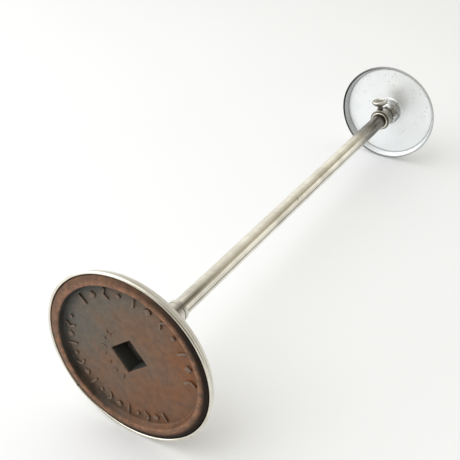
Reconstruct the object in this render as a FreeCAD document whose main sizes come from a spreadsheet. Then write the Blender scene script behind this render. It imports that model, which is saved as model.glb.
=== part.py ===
import FreeCAD, Part
import math
import os
import Sketcher

# A telescoping shop display stand: a weighted round base, a tube, a rod that slides and turns in it
# under a clamp collar with a thumb screw, and a round pan on top that carries a hat or other goods.
# +Z runs up the tube. The origin is on the tube's axis, in the plane that the base stands on.
# The thumb screw points along -Y. All lengths are millimetres and all angles are degrees.

# The driving dimensions: alias, value, what it measures.
SIZES = [
    ("fit_gap", 0.05, "radial clearance of a fit"),
    ("sheet", 0.8, "sheet metal thickness"),
    # base cover
    ("lip_bend", 1.0, "radius of the wire-rolled lip"),
    ("lip_centre_reach", 60.8, "centre of the rolled lip, from the axis"),
    ("lip_centre_rise", 1.9, "centre of the rolled lip, height"),
    ("wall_lean", 22.6, "lean of the wall above the lip, degrees"),
    ("edge_bend", 2.4, "outer radius between wall and shoulder"),
    ("edge_centre_reach", 57.7, "centre of that radius, from the axis"),
    ("edge_centre_rise", 5.6, "centre of that radius, height"),
    ("sweep_start_reach", 38.5, "where the flat shoulder turns into the sweep, from the axis"),
    ("sweep_start_rise", 14.26, "the same, height"),
    ("shoulder_slope", 17.72, "slope of the shoulder, degrees"),
    ("sweep_bend", 43.4, "outer radius of the trumpet sweep"),
    ("neck_outer", 9.0, "radius of the cover's neck"),
    ("neck_rise", 48.0, "height of the cover's neck"),
    # cast-iron weight
    ("weight_reach", 59.2, "outer radius of the weight"),
    ("weight_side", 4.4, "height of the weight's upright side"),
    ("rim_bend", 8.0, "rounding of the rim's outer part"),
    ("rim_edge_rise", 1.6, "height where the rounded rim meets the upright side"),
    ("land_inner", 52.6, "inner edge of the ring that stands on the ground"),
    ("land_outer", 54.8, "outer edge of that ring"),
    ("recess_top", 51.6, "radius of the recess at the rim"),
    ("recess_floor", 49.4, "radius of the recess at its floor"),
    ("recess_depth", 4.4, "depth of the recess under the weight"),
    ("back_reach", 40.0, "where the weight's back begins to rise to the boss, from the axis"),
    ("back_rise", 11.0, "the same, height"),
    ("back_bend", 46.0, "radius of that rise"),
    ("boss_reach", 15.0, "radius of the weight's central boss"),
    ("boss_rise", 28.0, "height of the weight's central boss"),
    ("nut_pocket", 19.0, "side of the square nut pocket"),
    ("nut_pocket_roof", 24.0, "height of the pocket's roof"),
    ("pocket_turn", 62.0, "turn of the square about the axis, degrees"),
    ("stud_hole", 10.6, "hole for the stud, diameter"),
    # foot fastening
    ("stud", 9.5, "thread diameter of the foot stud"),
    ("stud_low", 13.5, "lower end of the stud"),
    ("stud_plug_top", 48.0, "upper end of the plug inside the tube"),
    ("nut_side", 17.6, "side of the square nut"),
    ("nut_thick", 8.0, "thickness of the square nut"),
    ("washer_outer", 18.0, "diameter of the washer"),
    ("washer_thick", 1.4, "thickness of the washer"),
    # tube and ferrule
    ("tube_outer", 12.7, "diameter of the outer tube"),
    ("tube_inner", 10.7, "bore of the outer tube"),
    ("tube_low", 28.4, "lower end of the tube"),
    ("tube_top", 397.9, "upper end of the tube"),
    ("ferrule_reach", 10.4, "foot radius of the ferrule"),
    ("ferrule_bead", 7.7, "radius of the ferrule's top bead"),
    ("ferrule_height", 11.0, "height of the ferrule"),
    # clamp collar
    ("collar_low", 394.4, "lower face of the collar"),
    ("collar_top", 406.6, "upper face of the collar"),
    ("collar_bead", 9.6, "radius of the collar's beads"),
    ("collar_body", 9.1, "radius of the collar's body"),
    ("collar_crown", 8.3, "radius of the collar's top edge"),
    ("screw_level", 400.7, "height of the thumb screw's axis"),
    ("screw", 5.0, "thread diameter of the thumb screw"),
    ("screw_head", 7.2, "radius of the thumb screw's head"),
    ("screw_reach", 18.4, "outer face of the thumb screw's head, from the tube's axis"),
    ("pad", 3.8, "diameter of the brass pad"),
    ("pad_long", 2.2, "length of the brass pad"),
    ("pad_gap", 0.15, "clearance of the pad's flat end from the rod"),
    # inner rod, guide and top
    ("rod", 9.5, "diameter of the inner rod"),
    ("rod_low", 94.0, "lower end of the rod, closed"),
    ("guide_long", 14.0, "length of the guide bush"),
    ("guide_neck", 6.6, "diameter of the rod's turned-down end in the guide"),
    ("guide_screw", 3.5, "thread diameter of the guide screw"),
    ("hub_low", 408.2, "lower face of the hub"),
    ("rod_top", 414.4, "upper end of the rod, in the hub's socket"),
    ("top_screw", 4.0, "thread diameter of the top screw"),
    ("top_screw_head", 4.4, "radius of the top screw's flat head"),
    ("top_screw_low", 404.0, "tip of the top screw"),
    ("ring_reach", 13.6, "radius of the thin ring under the pan"),
    ("hub_reach", 11.4, "largest radius of the hub's dome"),
    ("pan_rim", 46.4, "outer radius of the pan's rolled rim"),
    ("pan_corner", 42.4, "radius where the pan's flat field ends"),
    ("pan_level", 421.7, "upper face of the pan"),
    ("pan_depth", 7.2, "depth of the pan's flange"),
    ("pan_bead", 1.15, "radius of the pan's rolled rim"),
]

doc = FreeCAD.newDocument("display_stand")
sheet = doc.addObject("Spreadsheet::Sheet", "Sizes")


def fill_sheet():
    """Write each driving dimension to the sheet with its alias."""
    for row, (alias, value, meaning) in enumerate(SIZES, start=1):
        sheet.set(f"A{row}", meaning)
        sheet.set(f"B{row}", str(value))
        sheet.setAlias(f"B{row}", alias)
    doc.recompute()


class Size:
    """A number with the sheet expression that gives it, so that a sketch can be bound to it."""

    def __init__(self, value, text):
        self.value = value
        self.text = text

    def __add__(self, other):
        other = as_size(other)
        return Size(self.value + other.value, f"({self.text} + {other.text})")

    def __sub__(self, other):
        other = as_size(other)
        return Size(self.value - other.value, f"({self.text} - {other.text})")

    def __mul__(self, other):
        other = as_size(other)
        return Size(self.value * other.value, f"({self.text} * {other.text})")

    def __truediv__(self, other):
        other = as_size(other)
        return Size(self.value / other.value, f"({self.text} / {other.text})")


def as_size(term):
    """A plain number as a Size."""
    if isinstance(term, Size):
        return term
    return Size(float(term), f"{float(term)}")


def dim(alias):
    """The driving dimension with this alias."""
    for name, value, _ in SIZES:
        if name == alias:
            return Size(value, f"Sizes.{name}")
    raise KeyError(alias)


def sine(angle):
    return Size(math.sin(math.radians(angle.value)), f"sin({angle.text} * 1 deg)")


def cosine(angle):
    return Size(math.cos(math.radians(angle.value)), f"cos({angle.text} * 1 deg)")


AXIS = as_size(0)       # on the axis, on the ground, or no turn
LEFT = 1                # an arc that turns left as the outline is followed
RIGHT = -1              # an arc that turns right


def at(reach, rise, bend=None, turn=LEFT):
    """An outline's point, and the radius of the arc that leaves it, if its next stretch is round."""
    return {"reach": as_size(reach), "rise": as_size(rise), "bend": bend, "turn": turn}


def origin_plane(body, role):
    """One of the body's own origin planes."""
    for feature in body.Origin.OriginFeatures:
        if feature.Role == role:
            return feature
    raise KeyError(role)


def new_sketch(body, name, role):
    """A sketch on one of the body's origin planes."""
    sketch = body.newObject("Sketcher::SketchObject", name)
    sketch.AttachmentSupport = (origin_plane(body, role), [""])
    sketch.MapMode = "FlatFace"
    return sketch


def arc_between(start, end, radius, turn):
    """The short arc from start to end with this radius, and the sketch's point numbers of its ends."""
    chord = end - start
    half = chord.Length / 2
    side = FreeCAD.Vector(-chord.y, chord.x, 0).normalize() * turn
    centre = (start + end) / 2 + side * math.sqrt(radius * radius - half * half)
    first, last = (start, end) if turn == LEFT else (end, start)
    angles = [math.atan2(p.y - centre.y, p.x - centre.x) for p in (first, last)]
    if angles[1] < angles[0]:
        angles[1] += 2 * math.pi
    circle = Part.Circle(centre, FreeCAD.Vector(0, 0, 1), radius)
    return Part.ArcOfCircle(circle, angles[0], angles[1]), (1, 2) if turn == LEFT else (2, 1)


def bind(sketch, constraint, size):
    """Bind a constraint's value to the sheet."""
    index = sketch.addConstraint(constraint)
    sketch.setExpression(f"Constraints[{index}]", size.text)


def place_point(sketch, edge, end, reach, rise):
    """Fix an edge's end at its distance from the axis and its height."""
    if reach.value == 0:
        sketch.addConstraint(Sketcher.Constraint("PointOnObject", edge, end, -2))
    else:
        bind(sketch, Sketcher.Constraint("DistanceX", -1, 1, edge, end, reach.value), reach)
    if rise.value == 0:
        sketch.addConstraint(Sketcher.Constraint("PointOnObject", edge, end, -1))
    else:
        bind(sketch, Sketcher.Constraint("DistanceY", -1, 1, edge, end, rise.value), rise)


def draw_outline(sketch, outline):
    """A closed outline of lines and arcs, each corner fixed from the sheet."""
    ends = []
    for step, following in zip(outline, outline[1:] + outline[:1]):
        start = FreeCAD.Vector(step["reach"].value, step["rise"].value, 0)
        end = FreeCAD.Vector(following["reach"].value, following["rise"].value, 0)
        if step["bend"] is None:
            edge = sketch.addGeometry(Part.LineSegment(start, end))
            ends.append((edge, 1, 2))
        else:
            arc, order = arc_between(start, end, step["bend"].value, step["turn"])
            edge = sketch.addGeometry(arc)
            ends.append((edge, *order))
            bind(sketch, Sketcher.Constraint("Radius", edge, step["bend"].value), step["bend"])
    for (edge, start, _), (before, _, end), step in zip(ends, ends[-1:] + ends[:-1], outline):
        sketch.addConstraint(Sketcher.Constraint("Coincident", before, end, edge, start))
        place_point(sketch, edge, start, step["reach"], step["rise"])


def turned(label, outline):
    """A piece turned about Z from its half outline."""
    body = doc.addObject("PartDesign::Body", label)
    body.Label = label
    sketch = new_sketch(body, label + "_outline", "XZ_Plane")
    draw_outline(sketch, outline)
    turning = body.newObject("PartDesign::Revolution", label + "_turning")
    turning.Profile = sketch
    turning.ReferenceAxis = (sketch, ["V_Axis"])
    turning.Angle = 360
    sketch.Visibility = False
    doc.recompute()
    return body


def cut(body, sketch, depth, upward):
    """Cut the sketch into the body, along its plane's normal or against it."""
    before = body.Shape.Volume
    pocket = body.newObject("PartDesign::Pocket", sketch.Name + "_cut")
    pocket.Profile = sketch
    pocket.Reversed = upward
    pocket.setExpression("Length", depth.text)
    doc.recompute()
    if not body.Shape.Volume < before - 0.5:
        raise RuntimeError(f"{pocket.Name} cuts nothing")


def draw_square(sketch, side, side_across):
    """A centred rectangle, side by side_across."""
    half = side / 2
    across = side_across / 2
    corners = [(-1, -1), (1, -1), (1, 1), (-1, 1)]
    places = [FreeCAD.Vector(x * half.value, y * across.value, 0) for x, y in corners]
    for start, end in zip(places, places[1:] + places[:1]):
        sketch.addGeometry(Part.LineSegment(start, end))
    for edge in range(4):
        sketch.addConstraint(Sketcher.Constraint("Coincident", edge, 2, (edge + 1) % 4, 1))
        sketch.addConstraint(Sketcher.Constraint("Horizontal" if edge % 2 == 0 else "Vertical", edge))
    sketch.addConstraint(Sketcher.Constraint("Symmetric", 0, 1, 1, 2, -1, 1))
    bind(sketch, Sketcher.Constraint("DistanceX", 0, 1, 0, 2, side.value), side)
    bind(sketch, Sketcher.Constraint("DistanceY", 1, 1, 1, 2, side_across.value), side_across)


def lift(sketch, level, angle):
    """Raise a sketch from its plane to a level, and turn it about Z by an angle in degrees."""
    turn = FreeCAD.Rotation(FreeCAD.Vector(0, 0, 1), angle.value)
    sketch.AttachmentOffset = FreeCAD.Placement(FreeCAD.Vector(0, 0, level.value), turn)
    sketch.setExpression("AttachmentOffset.Base.z", level.text)
    sketch.setExpression("AttachmentOffset.Rotation.Angle", angle.text)


fill_sheet()

gap = dim("fit_gap")
plate = dim("sheet")
slope = dim("shoulder_slope")
tube_reach = dim("tube_outer") / 2
bore_reach = dim("tube_inner") / 2
rod_reach = dim("rod") / 2


def base_cover():
    """Spun brass shell: wire-rolled lip, leaning wall, low shoulder, trumpet sweep and an open neck."""
    lip = dim("lip_bend")
    lip_reach = dim("lip_centre_reach")
    lip_rise = dim("lip_centre_rise")
    lean = dim("wall_lean")
    inner_joint = as_size(150)
    bend = dim("edge_bend")
    inner_bend = bend - plate
    edge_reach = dim("edge_centre_reach")
    edge_rise = dim("edge_centre_rise")
    sweep = dim("sweep_bend")
    sweep_reach = dim("sweep_start_reach")
    sweep_rise = dim("sweep_start_rise")
    neck = dim("neck_outer")
    neck_rise = dim("neck_rise")
    return turned("base_cover", [
        at(lip_reach, lip_rise - lip, lip, LEFT),
        at(lip_reach + lip, lip_rise, lip, LEFT),
        at(lip_reach + lip * cosine(lean), lip_rise + lip * sine(lean)),
        at(edge_reach + bend * cosine(lean), edge_rise + bend * sine(lean), bend, LEFT),
        at(edge_reach + bend * sine(slope), edge_rise + bend * cosine(slope)),
        at(sweep_reach, sweep_rise, sweep, RIGHT),
        at(neck, neck_rise),
        at(neck - plate, neck_rise, sweep + plate, LEFT),
        at(sweep_reach - plate * sine(slope), sweep_rise - plate * cosine(slope)),
        at(edge_reach + inner_bend * sine(slope), edge_rise + inner_bend * cosine(slope),
           inner_bend, RIGHT),
        at(edge_reach + inner_bend * cosine(lean), edge_rise + inner_bend * sine(lean)),
        at(lip_reach + lip * cosine(inner_joint), lip_rise + lip * sine(inner_joint), lip, LEFT),
    ])


def base_weight():
    """Cast-iron disc: a rounded rim that stands on the ground, a recess, a boss and a nut pocket."""
    reach = dim("weight_reach")
    hole = dim("stud_hole") / 2
    depth = dim("recess_depth")
    body = turned("base_weight", [
        at(hole, depth),
        at(dim("recess_floor"), depth, as_size(2.4), LEFT),
        at(dim("recess_top"), as_size(0.9), as_size(1.3), RIGHT),
        at(dim("land_inner"), AXIS),
        at(dim("land_outer"), AXIS, dim("rim_bend"), LEFT),
        at(reach, dim("rim_edge_rise")),
        at(reach, dim("weight_side")),
        at(reach - 1.8, dim("weight_side") + 1.6),
        at(dim("back_reach"), dim("back_rise"), dim("back_bend"), RIGHT),
        at(dim("boss_reach") + 1.0, dim("boss_rise") - 2.0),
        at(dim("boss_reach"), dim("boss_rise")),
        at(hole, dim("boss_rise")),
    ])
    sketch = new_sketch(body, "nut_pocket", "XY_Plane")
    side = dim("nut_pocket")
    draw_square(sketch, side, side)
    lift(sketch, AXIS, dim("pocket_turn"))
    cut(body, sketch, dim("nut_pocket_roof"), True)
    return body


def foot_washer():
    top = dim("nut_pocket_roof")
    low = top - dim("washer_thick")
    return turned("foot_washer", [
        at(dim("stud") / 2 + 0.4, low),
        at(dim("washer_outer") / 2, low),
        at(dim("washer_outer") / 2, top),
        at(dim("stud") / 2 + 0.4, top),
    ])


def foot_nut():
    """Square nut that the weight's pocket keeps from turning."""
    top = dim("nut_pocket_roof") - dim("washer_thick")
    body = turned("foot_nut", [
        at(dim("stud") / 2 + gap, top - dim("nut_thick")),
        at(dim("nut_side") * 0.68, top - dim("nut_thick")),
        at(dim("nut_side") * 0.68, top),
        at(dim("stud") / 2 + gap, top),
    ])
    frame = new_sketch(body, "nut_flats", "XY_Plane")
    draw_square(frame, dim("nut_side"), dim("nut_side"))
    around = dim("nut_side") * 2
    for edge, (x, y) in enumerate([(-1, -1), (1, -1), (1, 1), (-1, 1)]):
        following = [(1, -1), (1, 1), (-1, 1), (-1, -1)][edge]
        frame.addGeometry(Part.LineSegment(
            FreeCAD.Vector(x * around.value, y * around.value, 0),
            FreeCAD.Vector(following[0] * around.value, following[1] * around.value, 0)))
    lift(frame, top, dim("pocket_turn"))
    cut(body, frame, dim("nut_thick") + 1, False)
    return body


def foot_stud():
    """Steel plug fixed in the tube's lower end, turned down to the thread that takes the nut."""
    thread = dim("stud") / 2
    return turned("foot_stud", [
        at(AXIS, dim("stud_low")),
        at(thread - 0.8, dim("stud_low")),
        at(thread, dim("stud_low") + 0.8),
        at(thread, dim("tube_low")),
        at(bore_reach - gap, dim("tube_low")),
        at(bore_reach - gap, dim("stud_plug_top")),
        at(AXIS, dim("stud_plug_top")),
    ])


def foot_ferrule():
    """Turned ring at the tube's foot: it flares onto the cover's neck and has a bead on top."""
    low = dim("neck_rise")
    top = low + dim("ferrule_height")
    bead = dim("ferrule_bead")
    skirt = dim("neck_outer") + 0.5
    return turned("foot_ferrule", [
        at(tube_reach + gap, low),
        at(skirt, low),
        at(skirt, low - 1.6),
        at(dim("ferrule_reach"), low - 1.6),
        at(dim("ferrule_reach"), low - 0.9, as_size(26), RIGHT),
        at(bead - 0.3, top - 3.4),
        at(bead, top - 3.0),
        at(bead, top - 1.2, as_size(1.2), LEFT),
        at(bead - 0.9, top),
        at(tube_reach + gap, top),
    ])


def outer_tube():
    return turned("outer_tube", [
        at(bore_reach, dim("tube_low")),
        at(tube_reach, dim("tube_low")),
        at(tube_reach, dim("tube_top")),
        at(bore_reach, dim("tube_top")),
    ])


def clamp_collar():
    """Turned brass collar on the tube's end: two beads, a body with the tapped hole, a rod bore."""
    low = dim("collar_low")
    top = dim("collar_top")
    bead = dim("collar_bead")
    body_reach = dim("collar_body")
    seat = dim("tube_top")
    body = turned("clamp_collar", [
        at(tube_reach + gap, low),
        at(bead - 0.7, low, as_size(0.85), LEFT),
        at(bead - 0.7, low + 1.6),
        at(body_reach - 0.6, low + 1.75),
        at(body_reach - 0.6, low + 2.25),
        at(bead - 0.35, low + 2.4, as_size(0.6), LEFT),
        at(bead - 0.35, low + 3.5),
        at(body_reach - 0.3, low + 3.6),
        at(body_reach - 0.3, low + 4.0),
        at(body_reach, low + 4.1),
        at(body_reach, low + 8.8, as_size(7), LEFT),
        at(dim("collar_crown"), top - 0.5),
        at(dim("collar_crown") - 0.5, top),
        at(rod_reach + gap, top),
        at(rod_reach + gap, seat),
        at(tube_reach + gap, seat),
    ])
    sketch = new_sketch(body, "screw_hole", "XZ_Plane")
    radius = dim("screw") / 2 + gap
    centre = FreeCAD.Vector(0, dim("screw_level").value, 0)
    sketch.addGeometry(Part.Circle(centre, FreeCAD.Vector(0, 0, 1), radius.value))
    bind(sketch, Sketcher.Constraint("Radius", 0, radius.value), radius)
    place_point(sketch, 0, 3, AXIS, dim("screw_level"))
    cut(body, sketch, dim("collar_bead") * 2, True)
    return body


def screw_frame():
    """The thumb screw's own frame: its Z points along -Y at the collar's hole."""
    turn = FreeCAD.Rotation(FreeCAD.Vector(1, 0, 0), 90)
    return FreeCAD.Placement(FreeCAD.Vector(0, 0, dim("screw_level").value), turn)


def clamp_pad():
    """Brass slug between the screw's tip and the rod."""
    low = rod_reach + dim("pad_gap")
    body = turned("clamp_pad", [
        at(AXIS, low),
        at(dim("pad") / 2 - 0.2, low),
        at(dim("pad") / 2, low + 0.2),
        at(dim("pad") / 2, low + dim("pad_long")),
        at(AXIS, low + dim("pad_long")),
    ])
    body.Placement = screw_frame()
    return body


def thumb_screw():
    """Thumb screw: threaded shank, a neck, and a thin round head with a dished face."""
    tip = rod_reach + dim("pad_gap") + dim("pad_long")
    shank = dim("screw") / 2
    face = dim("screw_reach")
    head = dim("screw_head")
    body = turned("thumb_screw", [
        at(AXIS, tip),
        at(shank - 0.4, tip),
        at(shank, tip + 0.4),
        at(shank, face - 4.6, as_size(1.5), RIGHT),
        at(shank + 1.2, face - 3.3),
        at(head - 1.0, face - 2.9, as_size(1.5), LEFT),
        at(head, face - 1.5, as_size(1.5), LEFT),
        at(head - 0.9, face),
        at(head - 1.7, face, as_size(16), RIGHT),
        at(AXIS, face - 0.95),
    ])
    body.Placement = screw_frame()
    return body


def inner_rod():
    """Steel rod: tapped at the top, turned down and tapped at the bottom for the guide bush."""
    low = dim("rod_low")
    neck = dim("guide_neck") / 2
    shoulder = low + dim("guide_long")
    screw_bore = dim("guide_screw") / 2 + gap
    top_bore = dim("top_screw") / 2 + gap
    top = dim("rod_top")
    return turned("inner_rod", [
        at(AXIS, low + 12),
        at(screw_bore, low + 12),
        at(screw_bore, low),
        at(neck, low),
        at(neck, shoulder),
        at(rod_reach, shoulder),
        at(rod_reach, top - 0.5),
        at(rod_reach - 0.5, top),
        at(top_bore, top),
        at(top_bore, dim("top_screw_low") - 0.6),
        at(AXIS, dim("top_screw_low") - 0.6),
    ])


def guide_bush():
    """Bronze bush on the rod's lower end: it runs in the tube and stops under the collar."""
    low = dim("rod_low") + 0.1
    top = dim("rod_low") + dim("guide_long") - 0.1
    outer = bore_reach - gap
    bore = dim("guide_neck") / 2 + gap
    return turned("guide_bush", [
        at(bore, low),
        at(outer - 0.5, low),
        at(outer, low + 0.5),
        at(outer, top - 0.5),
        at(outer - 0.5, top),
        at(bore, top),
    ])


def guide_screw():
    """Screw and head that keep the guide bush on the rod."""
    low = dim("rod_low")
    thread = dim("guide_screw") / 2
    body = turned("guide_screw", [
        at(AXIS, low - 2.6),
        at(as_size(3.8), low - 2.6, as_size(0.8), LEFT),
        at(as_size(4.4), low - 2.0),
        at(as_size(4.4), low),
        at(thread, low),
        at(thread, low + 11),
        at(AXIS, low + 11),
    ])
    slot = new_sketch(body, "guide_screw_slot", "XY_Plane")
    draw_square(slot, as_size(12), as_size(1.0))
    lift(slot, low - 2.6, AXIS)
    cut(body, slot, as_size(1.1), True)
    return body


def top_hub():
    """Bell-shaped hub: a neck bead, a groove, a dome and a flat back with a countersink."""
    low = dim("hub_low")
    back = dim("pan_level") - plate - 1.0
    reach = dim("hub_reach")
    socket = rod_reach + gap
    dimple = dim("top_screw_head") + plate * 1.2
    hole = dim("top_screw") / 2 + plate * 1.3
    return turned("top_hub", [
        at(socket, low),
        at(as_size(6.6), low, as_size(0.75), LEFT),
        at(as_size(6.6), low + 1.4),
        at(as_size(6.0), low + 1.7),
        at(as_size(6.0), low + 2.3),
        at(as_size(7.2), low + 2.5, as_size(8.8), LEFT),
        at(reach, low + 8.6),
        at(reach, back),
        at(dimple, back),
        at(hole, back - 2.2),
        at(hole, dim("rod_top")),
        at(socket, dim("rod_top")),
    ])


def hub_ring():
    """Thin turned ring between the hub and the pan."""
    back = dim("pan_level") - plate
    inner = dim("top_screw_head") + plate * 1.2 + 0.3
    return turned("hub_ring", [
        at(inner, back - 1.0),
        at(dim("ring_reach") - 0.6, back - 1.0, as_size(0.8), LEFT),
        at(dim("ring_reach"), back - 0.4),
        at(dim("ring_reach"), back),
        at(inner, back),
    ])


def top_plate():
    """Spun pan: flat field, rounded corner, flared flange and a rolled rim, dimpled for its screw."""
    level = dim("pan_level")
    under = level - plate
    corner = dim("pan_corner")
    rim = dim("pan_rim")
    bead = dim("pan_bead")
    edge = level - dim("pan_depth")
    screw_head = dim("top_screw_head") + gap
    screw_hole = dim("top_screw") / 2 + gap * 2
    flange = rim - bead * 2
    return turned("top_plate", [
        at(screw_head, level),
        at(screw_hole, level - 2.4),
        at(screw_hole + 0.6, level - 2.4 - 0.7),
        at(screw_head + 0.9, under),
        at(corner - 1.2, under, as_size(2.6), RIGHT),
        at(corner + 0.9, under - 1.2),
        at(flange, edge + bead * 1.7),
        at(flange, edge + bead, bead, LEFT),
        at(rim - bead, edge, bead, LEFT),
        at(rim, edge + bead, bead, LEFT),
        at(rim - bead, edge + bead * 2),
        at(flange + plate * 0.9, edge + bead * 2.1),
        at(corner + 1.6, under - 0.5, as_size(3.2), LEFT),
        at(corner - 0.9, level),
    ])


def top_screw():
    """Flat-headed screw through the pan, the ring and the hub into the rod."""
    level = dim("pan_level")
    thread = dim("top_screw") / 2
    body = turned("top_screw", [
        at(AXIS, dim("top_screw_low")),
        at(thread, dim("top_screw_low")),
        at(thread, level - 2.4),
        at(dim("top_screw_head"), level),
        at(AXIS, level),
    ])
    slot = new_sketch(body, "top_screw_slot", "XY_Plane")
    draw_square(slot, as_size(12), as_size(0.9))
    lift(slot, level, AXIS)
    cut(body, slot, as_size(0.9), False)
    return body


PIECES = [
    base_cover(), base_weight(), foot_washer(), foot_nut(), foot_stud(), foot_ferrule(),
    outer_tube(), clamp_collar(), clamp_pad(), thumb_screw(), inner_rod(), guide_bush(),
    guide_screw(), top_hub(), hub_ring(), top_plate(), top_screw(),
]

doc.recompute()


def check_document():
    """Stop if any feature failed or any piece isn't a sound single solid."""
    for item in doc.Objects:
        if "Invalid" in item.State or "Error" in item.State:
            raise RuntimeError(f"{item.Name} failed: {item.State}")
    for piece in PIECES:
        shape = piece.Shape
        if shape.isNull() or not shape.isValid() or len(shape.Solids) != 1:
            raise RuntimeError(f"{piece.Label} isn't one sound solid")


check_document()
os.makedirs("parts", exist_ok=True)
for piece in PIECES:
    piece.Shape.exportStep(f"parts/{piece.Label}.step")
    box = piece.Shape.BoundBox
    print(f"{piece.Label:14s} {piece.Shape.Volume:10.1f} mm3   z {box.ZMin:7.2f} to {box.ZMax:7.2f}"
          f"   reach {box.XMax:6.2f}")
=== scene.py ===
import math
import random

import bmesh
import bpy
from mathutils import Matrix, Vector, noise


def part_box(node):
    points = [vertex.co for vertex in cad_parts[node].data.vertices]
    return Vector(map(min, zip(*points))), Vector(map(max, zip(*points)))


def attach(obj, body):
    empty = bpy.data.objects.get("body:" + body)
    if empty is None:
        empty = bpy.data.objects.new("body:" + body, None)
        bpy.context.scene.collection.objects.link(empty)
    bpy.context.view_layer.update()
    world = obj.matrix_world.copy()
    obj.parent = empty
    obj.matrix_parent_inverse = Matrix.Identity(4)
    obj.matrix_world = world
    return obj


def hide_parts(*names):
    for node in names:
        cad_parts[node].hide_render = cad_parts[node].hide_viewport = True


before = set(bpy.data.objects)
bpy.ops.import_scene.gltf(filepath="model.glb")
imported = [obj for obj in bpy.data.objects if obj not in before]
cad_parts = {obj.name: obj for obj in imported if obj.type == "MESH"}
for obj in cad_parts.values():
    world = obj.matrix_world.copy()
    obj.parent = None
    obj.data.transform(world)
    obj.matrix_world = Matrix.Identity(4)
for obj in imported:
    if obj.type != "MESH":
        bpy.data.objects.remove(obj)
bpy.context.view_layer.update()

# A telescoping shop display stand that lies on a pale floor: weighted base with its underside in
# view, tube, clamp collar with a thumb screw, the neck of the inner rod, bell hub and pan.
# +Z runs from the base up the tube, and the thumb screw points along -Y.
# Outlines are in millimetres, as (distance from the axis, height), and meshes are in metres.

MM = 0.001


# ---------------------------------------------------------------- places that the frame gives

def reach_of(node):
    """Half the node's width across the axis, in millimetres."""
    low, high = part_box(node)
    return max(high.x, -low.x) / MM


def levels_of(node):
    """The node's lowest and highest level, in millimetres."""
    low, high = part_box(node)
    return low.z / MM, high.z / MM


TUBE_REACH = reach_of("outer_tube")
TUBE_LOW, TUBE_TOP = levels_of("outer_tube")
TUBE_WALL = 0.8                 # thinner than the CAD's, so that the bruised bore clears the bush
BASE_REACH = reach_of("base_cover")
COVER_LOW, COVER_TOP = levels_of("base_cover")
WEIGHT_REACH = reach_of("base_weight")
WEIGHT_TOP = levels_of("base_weight")[1]
PAN_REACH = reach_of("top_plate")
PAN_LOW, PAN_TOP = levels_of("top_plate")
ROD_REACH = reach_of("inner_rod")
ROD_LOW, ROD_TOP = levels_of("inner_rod")
SHEET = 0.8                     # thickness of the spun sheet
POCKET_TURN = math.radians(62)  # turn of the square nut pocket about the axis
RECESS = 4.4                    # depth of the recess under the weight
RECESS_EDGE = 50.8              # where the recess's floor turns into its wall
RIM_INNER = 52.7                # inner edge of the land that the stand rests on
RIM_OUTER = 54.8                # outer edge of that land
# A painted dark reflection runs down the side of the tube that faces the camera.
NEAR_SIDE = -45                # side of the stand, in degrees, that faces the camera


# ---------------------------------------------------------------- outlines and turned meshes

def rounded(corners, step=1.5, closed=True):
    """Outline points from corners (reach, rise, radius). A corner with a radius becomes an arc, and
    a straight stretch is divided into parts no longer than step."""
    count = len(corners)
    bent = []
    for i, (reach, rise, radius) in enumerate(corners):
        here = Vector((reach, rise))
        if not radius or (not closed and i in (0, count - 1)):
            bent.append([here])
            continue
        back = Vector(corners[i - 1][:2]) - here
        ahead = Vector(corners[(i + 1) % count][:2]) - here
        half = back.angle(ahead) / 2
        cut = min(radius / math.tan(half), back.length * 0.98, ahead.length * 0.98)
        radius = cut * math.tan(half)
        start = here + back.normalized() * cut
        middle = (back.normalized() + ahead.normalized()).normalized()
        centre = here + middle * (radius / math.sin(half))
        swing = (start - centre).angle_signed(here + ahead.normalized() * cut - centre)
        parts = max(3, math.ceil(abs(swing) / math.radians(11)),
                    math.ceil(abs(swing) * radius / step))
        arm = start - centre
        bent.append([centre + Matrix.Rotation(-swing * k / parts, 2) @ arm
                     for k in range(parts + 1)])
    points = []
    for i, run in enumerate(bent):
        points.extend(run)
        if i == count - 1 and not closed:
            break
        gap = bent[(i + 1) % count][0] - run[-1]
        parts = math.ceil(gap.length / step)
        points.extend(run[-1] + gap * k / parts for k in range(1, parts))
        if gap.length < 1e-6:
            points.pop()
    return points


def bow(start, end, radius, step=1.5):
    """Points along the arc from start to end, both ends left out. The centre lies to the right of
    the way from start to end, or to the left with a negative radius."""
    start, end = Vector(start), Vector(end)
    chord = end - start
    side = Vector((chord.y, -chord.x)).normalized() * math.copysign(1, radius)
    centre = (start + end) / 2 + side * math.sqrt(radius ** 2 - (chord.length / 2) ** 2)
    swing = (start - centre).angle_signed(end - centre)
    parts = math.ceil(abs(swing * radius) / step)
    return [centre + Matrix.Rotation(-swing * k / parts, 2) @ (start - centre)
            for k in range(1, parts)]


def squared(angle):
    """How far a square's edge lies from its centre at this angle, for a square of half side 1."""
    return 1 / max(abs(math.cos(angle)), abs(math.sin(angle)))


def turned(name, outline, turns=160, squareness=None, turn=0.0):
    """A closed mesh turned about Z. squareness, one value a point, draws a ring from 0, round, to
    1, square."""
    made = bmesh.new()
    rings = []
    for i, (reach, rise) in enumerate(outline):
        if abs(reach) < 1e-6:
            rings.append([made.verts.new((0, 0, rise * MM))])
            continue
        ring = []
        for k in range(turns):
            angle = math.tau * k / turns + math.pi / 4
            share = squareness[i] if squareness else 0
            arm = reach * MM * (1 - share + share * squared(angle))
            ring.append(made.verts.new((arm * math.cos(angle + turn), arm * math.sin(angle + turn),
                                        rise * MM)))
        rings.append(ring)
    for inner, outer in zip(rings, rings[1:] + rings[:1]):
        if len(inner) == len(outer) == 1:
            continue
        for k in range(turns):
            near = [inner[k % len(inner)], inner[(k + 1) % len(inner)]]
            far = [outer[(k + 1) % len(outer)], outer[k % len(outer)]]
            made.faces.new(list(dict.fromkeys(near + far)))
    bmesh.ops.recalc_face_normals(made, faces=made.faces)
    mesh = bpy.data.meshes.new(name)
    made.to_mesh(mesh)
    made.free()
    return bpy.data.objects.new(name, mesh)


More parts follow.
